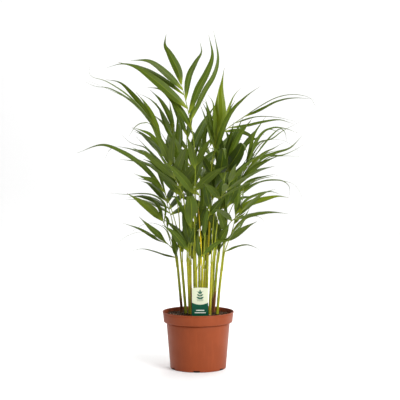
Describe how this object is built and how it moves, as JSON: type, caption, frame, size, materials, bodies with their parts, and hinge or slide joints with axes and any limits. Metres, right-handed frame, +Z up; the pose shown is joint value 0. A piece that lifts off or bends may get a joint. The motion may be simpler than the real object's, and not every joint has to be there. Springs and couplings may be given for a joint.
{
  "type": "potted palm",
  "caption": "Young clump-forming palm with feathery arching fronds, growing in soil in a tapered plastic nursery pot with a plain plant label.",
  "frame": {"origin": "centre of the pot's foot, on the surface it stands on", "axes": "+Z up along the pot's axis, -Y towards the face of the plant label, +X to the right when facing the label"},
  "size_m": [0.5735, 0.4668, 0.8167],
  "materials": {
    "pot": "satin",
    "potting_soil": "matte",
    "plant_label": "gloss",
    "shoot": "satin",
    "frond": "satin",
    "spear": "satin"
  },
  "bodies": {
    "root": {"frond_back_1": "frond", "frond_back_2": "frond", "frond_back_3": "frond", "frond_back_4": "frond", "frond_back_5": "frond", "frond_back_6": "frond", "frond_back_7": "frond", "frond_back_foot": "frond", "frond_centre": "frond", "frond_front_1": "frond", "frond_front_2": "frond", "frond_front_3": "frond", "frond_front_5": "frond", "frond_front_left": "frond", "frond_front_low": "frond", "frond_front_middle": "frond", "frond_left_arm": "frond", "frond_left_back": "frond", "frond_left_foot": "frond", "frond_left_high": "frond", "frond_left_inner": "frond", "frond_left_low": "frond", "frond_low_back_left": "frond", "frond_low_back_right": "frond", "frond_low_left": "frond", "frond_low_left_back": "frond", "frond_low_right": "frond", "frond_low_right_back": "frond", "frond_middle_1": "frond", "frond_middle_5": "frond", "frond_middle_high": "frond", "frond_right_arm": "frond", "frond_right_foot": "frond", "frond_right_front": "frond", "frond_right_high": "frond", "frond_right_inner": "frond", "frond_right_low": "frond", "frond_right_middle": "frond", "frond_tall": "frond", "plant_label": "plant_label", "pot": "pot", "potting_soil": "potting_soil", "shoot_01": "shoot", "shoot_02": "shoot", "shoot_03": "shoot", "shoot_04": "shoot", "shoot_05": "shoot", "shoot_06": "shoot", "shoot_07": "shoot", "shoot_08": "shoot", "shoot_09": "shoot", "shoot_10": "shoot", "shoot_11": "shoot", "shoot_12": "shoot", "shoot_13": "shoot", "shoot_14": "shoot", "shoot_15": "shoot", "spear_high": "spear", "spear_low": "spear", "spear_middle": "spear"}
  },
  "joints": []
}
